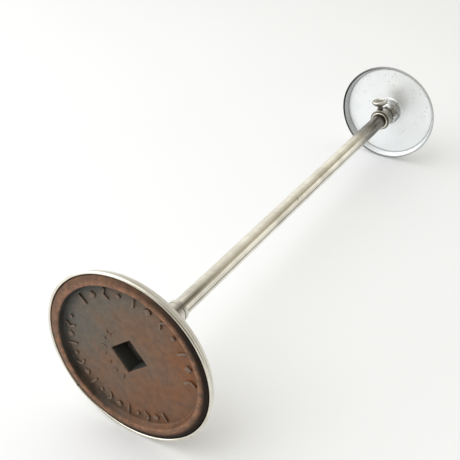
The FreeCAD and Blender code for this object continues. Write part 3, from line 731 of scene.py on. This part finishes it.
def outer_tube(material):
    """Rolled and brazed tube: a slightly wandering seam along it, and a few shallow bruises."""
    bore = TUBE_REACH - TUBE_WALL
    corners = [(bore, TUBE_LOW, 0.2), (TUBE_REACH, TUBE_LOW, 0.3), (TUBE_REACH, TUBE_TOP, 0.3),
               (bore, TUBE_TOP, 0.2)]
    piece = turned("outer_tube_rolled", rounded(corners, step=2.5), turns=240)

    seam_angle = math.radians(4)
    collar_mouth = levels_of("clamp_collar")[0]
    ferrule_top = levels_of("foot_ferrule")[1]

    def seam(reach, rise, angle):
        wander = noise.noise(Vector((0, 0, rise / 35))) * 0.07
        return line(angle * reach, (seam_angle + wander) * reach, 0.7) * (reach > bore + 0.5)

    def tube_darkening(rise, angle):
        """Soiling by the clamp and the foot, and a darker band down the near side by the foot;
        painted shade at the collar's mouth, and a thin painted dark reflection down the near side.
        """
        round_tube = Vector((TUBE_REACH * math.cos(angle), TUBE_REACH * math.sin(angle), rise / 4))
        patch = noise.fractal(round_tube / 7, 0.8, 2.0, 3)
        clamped = climb(rise, collar_mouth - 68.4, collar_mouth - 28.4) * (0.8 + 0.35 * patch)
        foot = climb(rise, ferrule_top + 53, ferrule_top - 7)
        streak = line(math.degrees(angle), NEAR_SIDE, 26) * min(1.0, foot * 1.5) * 0.8
        wander = 3 * noise.noise(Vector((5, 0, rise / 40)))
        # A thin painted dark reflection down the near side, wandering a little.
        painted_reflection_line = line(math.degrees(angle), NEAR_SIDE + 2 + wander, 9) * 0.26
        # Painted shade just below the collar's mouth.
        collar_mouth_shade = climb(rise, collar_mouth - 10.4, collar_mouth - 3.4) * 0.97
        return max(painted_reflection_line, collar_mouth_shade, streak, min(0.9, clamped + foot * (0.12 + 0.5 * patch)))

    soil_and_shade(piece, seam)
    groove = 0.2 * MM
    for vertex, darkening in zip(piece.data.vertices, piece.data.attributes["grime_and_shade"].data):
        across = Vector((vertex.co.x, vertex.co.y, 0))
        vertex.co -= across.normalized() * groove * darkening.value
        angle = math.atan2(across.y, across.x)
        darkening.value = max(darkening.value, tube_darkening(vertex.co.z / MM, angle))
    waver(piece, 60, 0.05, seed=7.7)
    bruise = random.Random(11)
    for _ in range(14):
        angle = bruise.uniform(0, math.tau)
        level = bruise.uniform(TUBE_LOW + 40, TUBE_TOP - 15)
        centre = (TUBE_REACH * math.cos(angle), TUBE_REACH * math.sin(angle), level)
        dent(piece, centre, bruise.uniform(3.0, 6.0), bruise.uniform(0.03, 0.10))
    smooth(piece)
    put(piece, "stand", material, "nickel_plate", "outer_tube")


# ---------------------------------------------------------------- the clamp

def along_screw(level):
    """The move that lays a piece turned about Z along -Y, at a level in millimetres."""
    return Matrix.Translation((0, 0, level * MM)) @ Matrix.Rotation(math.pi / 2, 4, "X")


def clamp_collar(material):
    """Turned collar: two beads below, a smooth body with the screw's hole, and a softened crown."""
    low, high = levels_of("clamp_collar")
    bead = reach_of("clamp_collar")
    tube = TUBE_REACH + 0.05
    rod = ROD_REACH + 0.05
    corners = [
        (tube, low + 0.3, 0.1), (tube + 0.4, low, 0.2), (tube + 1.7, low, 0.8),
        (tube + 1.7, low + 1.8, 0.8), (tube + 0.8, low + 1.9, 0.1), (tube + 0.8, low + 2.4, 0.1),
        (bead, low + 2.45, 0.8), (bead, low + 4.2, 0.8), (bead - 1.3, low + 4.3, 0.1),
        (bead - 1.3, low + 4.9, 0.1), (bead - 0.5, low + 5.0, 0.2),
        (bead - 0.5, high - 3.4, 6.0), (bead - 1.4, high - 0.1, 0.6), (rod, high, 0.2),
        (rod, TUBE_TOP + 0.05, 0), (tube, TUBE_TOP + 0.05, 0),
    ]
    piece = turned("clamp_collar_turned", rounded(corners, step=0.7), turns=160)
    bpy.context.scene.collection.objects.link(piece)
    level = sum(levels_of("thumb_screw")) / 2
    drill = turned("drill", [(0, 0), (2.56, 0), (2.56, 14), (0, 14)], turns=48)
    drill.data.transform(along_screw(level))
    bpy.context.scene.collection.objects.link(drill)
    hole = piece.modifiers.new("screw hole", "BOOLEAN")
    hole.operation = "DIFFERENCE"
    hole.solver = "EXACT"
    hole.object = drill
    apply_modifiers(piece)
    bpy.data.objects.remove(drill)

    def darkening(reach, rise, angle):
        # Painted shade in the two grooves; blotches of dark tarnish on the body.
        grooves = max(line(rise, low + 2.15, 1.0), line(rise, low + 4.6, 1.1))
        blotch = noise.noise(Vector((math.cos(angle), math.sin(angle), rise / 6)) * 1.7)
        body = min(0.8, max(0.2, 0.48 + blotch * 0.6)) * (rise > low + 5.0)
        return max(grooves * (reach > tube + 0.5), body)

    soil_and_shade(piece, darkening)
    smooth(piece)
    put(piece, "stand", material, "nickel_plate", "clamp_collar")


def thumb_screw(material):
    """Thumb screw: threaded shank, plain neck, and a thin round head with a dished face."""
    low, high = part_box("thumb_screw")
    level = (low.z + high.z) / 2 / MM
    face = -low.y / MM
    tip = -high.y / MM
    head = (high.x - low.x) / 2 / MM
    pitch = 0.8
    thread_depth = 0.42
    shank = 2.5
    neck_start = 10.4
    corners = [
        (0, tip, 0), (shank - 0.5, tip, 0), (shank, tip + 0.5, 0), (shank, neck_start, 0.1),
        (shank - 0.25, neck_start + 0.2, 0.2), (shank - 0.25, face - 5.2, 0.9),
        (head - 1.9, face - 4.3, 1.8), (head, face - 2.0, 1.4), (head, face, 0.7),
        (head - 1.3, face, 0.4), (head - 2.2, face - 0.9, 1.2), (2.4, face - 1.6, 3.0),
        (0, face - 1.7, 0),
    ]
    outline = rounded(corners, step=0.16, closed=False)
    piece = turned("thumb_screw_turned", outline, turns=72)
    for vertex in piece.data.vertices:
        along = vertex.co.z / MM
        reach = Vector((vertex.co.x, vertex.co.y, 0))
        if tip + 0.4 < along < neck_start and reach.length > (shank - 0.3) * MM:
            turn = math.atan2(vertex.co.y, vertex.co.x) / math.tau
            wave = abs(((along / pitch - turn) % 1.0) - 0.5) * 2
            vertex.co -= reach.normalized() * thread_depth * MM * (1 - wave)

    def darkening(reach, rise, angle):
        # Painted shade on the shank and on the underside of the head; the dished face is darker
        # towards its middle.
        if rise < face - 4.9:
            return 0.85
        return 0.62 if rise < face - 1.2 else 0.8 * line(reach, 0, head - 1.0) + 0.12

    soil_and_shade(piece, darkening)
    piece.data.transform(along_screw(level))
    smooth(piece, 50)
    put(piece, "screw", material, "nickel_plate", "thumb_screw")


# ---------------------------------------------------------------- the rod and the top

def inner_rod(material):
    """Drawn rod, turned down below for the guide bush and tapped above for the top screw."""
    tapped = levels_of("top_screw")[0] - 0.6
    corners = [
        (0, ROD_LOW + 12, 0), (1.8, ROD_LOW + 12, 0), (1.8, ROD_LOW, 0.2), (3.3, ROD_LOW, 0.3),
        (3.3, ROD_LOW + 14, 0), (ROD_REACH, ROD_LOW + 14, 0.3), (ROD_REACH, ROD_TOP, 0.4),
        (2.05, ROD_TOP, 0.2), (2.05, tapped, 0), (0, tapped, 0),
    ]
    piece = turned("inner_rod_drawn", rounded(corners, step=4.0, closed=False), turns=96)
    smooth(piece)
    put(piece, "rod", material, "plain_steel_bright", "inner_rod")


def top_hub(material):
    """Bell hub: neck bead, groove, dome and back."""
    low, high = levels_of("top_hub")
    reach = reach_of("top_hub")
    socket = ROD_REACH + 0.05
    corners = [
        (socket, low, 0.2), (7.35, low, 0.8), (7.35, low + 1.6, 0.7), (6.0, low + 1.8, 0.2),
        (6.0, low + 2.3, 0.2), (8.0, low + 2.5, 0.8), (reach, low + 6.2, 6.5), (reach, high, 0.3),
        (5.4, high, 0.1), (3.1, high - 2.2, 0), (3.1, ROD_TOP, 0), (socket, ROD_TOP, 0),
    ]
    piece = turned("top_hub_bell", rounded(corners, step=0.7), turns=144)

    def darkening(reach, rise, angle):
        # Painted shade in the grooves, at the bottom by the rod and along the top edge against the
        # ring; blotches of grey tarnish elsewhere.
        groove = max(line(rise, low + 2.05, 0.9), line(rise, low, 0.7)) * (reach < 8.2)
        around = Vector((math.cos(angle), math.sin(angle), rise / 7))
        blotch = noise.fractal(around * 2.6, 0.8, 2.0, 3)
        return max(groove, min(0.8, max(0.0, 0.24 + blotch * 0.8)), line(rise, high, 0.5))

    soil_and_shade(piece, darkening)
    smooth(piece)
    put(piece, "rod", material, "nickel_plate", "top_hub")


def hub_ring(material):
    """Thin ring between hub and pan."""
    low, high = levels_of("hub_ring")
    reach = reach_of("hub_ring")
    corners = [(5.7, low, 0), (reach, low, 0.6), (reach, high, 0), (5.7, high, 0)]
    piece = turned("hub_ring_turned", rounded(corners, step=1.0), turns=144)
    smooth(piece)
    put(piece, "rod", material, "nickel_plate", "hub_ring")


def top_pan(material):
    """Spun pan: flat field dimpled for its screw, rounded corner, flared flange, rolled rim."""
    under = PAN_TOP - SHEET
    bead = 1.15
    flange = PAN_REACH - 2 * bead
    corner = PAN_REACH - 4.0
    corners = [
        (4.45, PAN_TOP, 0.3), (2.15, PAN_TOP - 2.4, 0), (2.75, PAN_TOP - 3.1, 0),
        (5.3, under, 0.8), (corner + 0.3, under, 0.7), (flange, PAN_LOW + bead * 1.5, 0.6),
        (flange, PAN_LOW, bead), (PAN_REACH, PAN_LOW, bead), (PAN_REACH, PAN_LOW + 2 * bead, bead),
        (flange + SHEET, PAN_LOW + 2 * bead, 0.3), (corner + 1.0, PAN_TOP, 1.5),
    ]
    piece = turned("top_pan_spun", rounded(corners, step=1.2), turns=224)

    def darkening(reach, rise, angle):
        # Painted shade in the fold at the corner. The rolled rim holds some old soiling all round,
        # and on one side it and the flange are darkened as a painted dark reflection.
        fold = line(reach, corner + 0.1, 0.5) * (rise < under + 0.1) * 0.8
        dark_reflection_side = 0.5 + 0.5 * math.cos(angle - math.radians(190))
        rolled = (reach > PAN_REACH - 2.0) * (0.3 + 0.7 * dark_reflection_side)
        flared = (reach > corner + 0.4) * 0.34 * dark_reflection_side ** 2
        nick = line(angle, math.radians(-82), 0.05) * line(reach, PAN_REACH - 1.6, 1.4)
        return max(fold, rolled, flared, nick)

    soil_and_shade(piece, darkening)
    waver(piece, 30, 0.12, seed=1.9)
    smooth(piece)
    put(piece, "rod", material, "nickel_plate", "top_plate")


# ---------------------------------------------------------------- the set, the light and the camera

LEAN = math.radians(12.1)       # turn of the floor's upward side from -Y towards +X
# The camera's turn, rise and roll about the stand, its distance and aim in metres, and its lens.
VIEW_TURN = math.radians(50.13)
VIEW_RISE = math.radians(-45.90)
VIEW_ROLL = math.radians(-48.31)
VIEW_DISTANCE = 0.6032
VIEW_AIM = Vector((-0.01071, -0.01294, 0.14423))
VIEW_LENS = 64.56


def floor_up():
    """The floor's upward direction, square to the line from the base's edge to the pan's rim, and
    the point where the base touches the floor."""
    outward = Vector((math.sin(LEAN), -math.cos(LEAN), 0))
    base_touch = -outward * BASE_REACH * MM + Vector((0, 0, (COVER_LOW + 3.4) * MM))
    pan_touch = -outward * PAN_REACH * MM + Vector((0, 0, (PAN_LOW + 1.15) * MM))
    along = (pan_touch - base_touch).normalized()
    up = (outward - along * outward.dot(along)).normalized()
    return up, base_touch


def facing(direction, up):
    """Rotation that turns -Z to a direction, with +Y as near as it can be to up."""
    back = -direction.normalized()
    side = up.cross(back).normalized()
    return Matrix((side, back.cross(side), back)).transposed()


def floor(material):
    """Plain floor that the stand lies on."""
    up, touch = floor_up()
    mesh = bpy.data.meshes.new("floor")
    half = 6.0
    turn = facing(-up, Vector((0, 0, 1)))
    signs = [(-1, -1), (1, -1), (1, 1), (-1, 1)]
    corners = [touch + turn @ Vector((x * half, y * half, 0)) for x, y in signs]
    mesh.from_pydata(corners, [], [(0, 1, 2, 3)])
    piece = bpy.data.objects.new("floor", mesh)
    piece.data.materials.append(material)
    bpy.context.scene.collection.objects.link(piece)


def camera():
    """The camera, and its right and away directions along the floor."""
    back = Vector((math.sin(VIEW_TURN) * math.cos(VIEW_RISE),
                   -math.cos(VIEW_TURN) * math.cos(VIEW_RISE), math.sin(VIEW_RISE)))
    up = (Vector((0, 0, 1)) - back * back.z).normalized()
    up = Matrix.Rotation(-VIEW_ROLL, 3, back) @ up
    made = bpy.data.objects.new("camera", bpy.data.cameras.new("camera"))
    made.data.lens = VIEW_LENS
    made.data.sensor_width = 36
    made.data.clip_start = 0.01
    stands = Matrix.Translation(VIEW_AIM + back * VIEW_DISTANCE)
    made.matrix_world = stands @ facing(-back, up).to_4x4()
    bpy.context.scene.collection.objects.link(made)
    bpy.context.scene.camera = made
    ground = floor_up()[0]
    right = made.matrix_world.to_3x3().col[0]
    right = (right - ground * right.dot(ground)).normalized()
    return right, ground.cross(right)


def area_light(name, place, aim, size, power, colour):
    """A soft rectangular light, out of the camera's sight."""
    made = bpy.data.objects.new(name, bpy.data.lights.new(name, "AREA"))
    made.data.shape = "RECTANGLE"
    made.data.size, made.data.size_y = size
    made.data.energy = power
    made.data.color = linear(colour)[:3]
    made.matrix_world = Matrix.Translation(place) @ facing(aim - place, Vector((0, 0, 1))).to_4x4()
    made.visible_camera = False
    bpy.context.scene.collection.objects.link(made)


def lights(right, away):
    """A broad window to the left, in a pale room that is darker behind the camera and high up on
    the right. Each of the room's shades grows between two cosines of the angle to its middle."""
    up = floor_up()[0]
    middle = Vector((0, 0, PAN_TOP * MM / 2))
    window = middle - right * 1.05 - away * 0.1 + up * 0.92
    area_light("window", window, middle, (2.8, 2.2), 27.0, "#ffffff")
    world = bpy.data.worlds.new("pale room")
    bpy.context.scene.world = world
    world.use_nodes = True
    tree = world.node_tree
    tree.nodes.clear()
    look = add(tree, "ShaderNodeTexCoord").outputs["Generated"]

    near = {}
    for side, direction, start, full in (
            ("high", up, 0.35, 0.75), ("behind", -away, 0.05, 0.7),
            ("wide", right * 0.9 + away * 0.3 + up * 0.45, 0.50, 0.97), ("above", up, 0.27, 0.39)):
        turn = add(tree, "ShaderNodeVectorMath", {
            0: look, 1: tuple(direction.normalized())}, operation="DOT_PRODUCT")
        near[side] = add(tree, "ShaderNodeMapRange", {
            "Value": turn.outputs["Value"], "From Min": start, "From Max": full},
            interpolation_type="SMOOTHSTEP").outputs["Result"]
    high = add(tree, "ShaderNodeMix", {
        "Factor": near["high"], 6: linear("#fffdf8"), 7: linear("#efeeea")}, data_type="RGBA")
    behind = add(tree, "ShaderNodeMix", {
        "Factor": near["behind"], 6: high.outputs[2], 7: linear("#8f897c")}, data_type="RGBA")
    share = add(tree, "ShaderNodeMath", {0: near["wide"], 1: near["above"]}, operation="MULTIPLY")
    shadowed = add(tree, "ShaderNodeMix", {
        "Factor": share.outputs[0], 6: behind.outputs[2], 7: linear("#cac5b6")}, data_type="RGBA")
    shine = add(tree, "ShaderNodeBackground", {"Color": shadowed.outputs[2], "Strength": 1.07})
    output = add(tree, "ShaderNodeOutputWorld")
    tree.links.new(shine.outputs[0], output.inputs["Surface"])
    bpy.context.scene.view_settings.view_transform = "Standard"


# ---------------------------------------------------------------- building it

def build():
    """Every finish and piece, then the floor, the camera and the light."""
    plate = nickel_plate("nickel plate", bright="#e2dfd4", pits=0.10)
    tube_plate = nickel_plate("nickel plate on tube", bright="#ece8dc", rough=0.08,
                              haze=0.08, pits=0.06)
    pan_plate = nickel_plate("pitted nickel plate", bright="#fafdff", tarnish="#eceff2", pits=0.25,
                             rough=0.37, haze=0.10, freckles=3.3, heavy_side=(0.007, -0.008),
                             metal=0.8)
    hub_plate = nickel_plate("worn nickel plate", bright="#d6d7d5", tarnish="#706d66", pits=0.3,
                             freckles=2.2)
    cover_plate = nickel_plate("bright nickel plate", bright="#e9e5d9", tarnish="#a39b84",
                               pits=0.08)
    iron = patinated_iron()
    steel = plain_steel("rusty steel")
    rod_steel = plain_steel("drawn steel rod", bright="#a9a69d", rusting=0.2, rough=0.2)
    brass = dull_brass()
    base_cover(cover_plate)
    base_weight(iron)
    cast_marks(iron)
    foot_nut(steel)
    foot_ferrule(plate)
    outer_tube(tube_plate)
    clamp_collar(plate)
    thumb_screw(plate)
    inner_rod(rod_steel)
    top_hub(hub_plate)
    hub_ring(pan_plate)
    top_pan(pan_plate)
    for node, material in [("foot_washer", steel), ("foot_stud", steel), ("guide_screw", steel),
                           ("top_screw", rod_steel), ("clamp_pad", brass), ("guide_bush", brass)]:
        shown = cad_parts[node]
        shown.data.materials.clear()
        shown.data.materials.append(material)
    floor(painted_board())
    right, away = camera()
    lights(right, away)


build()
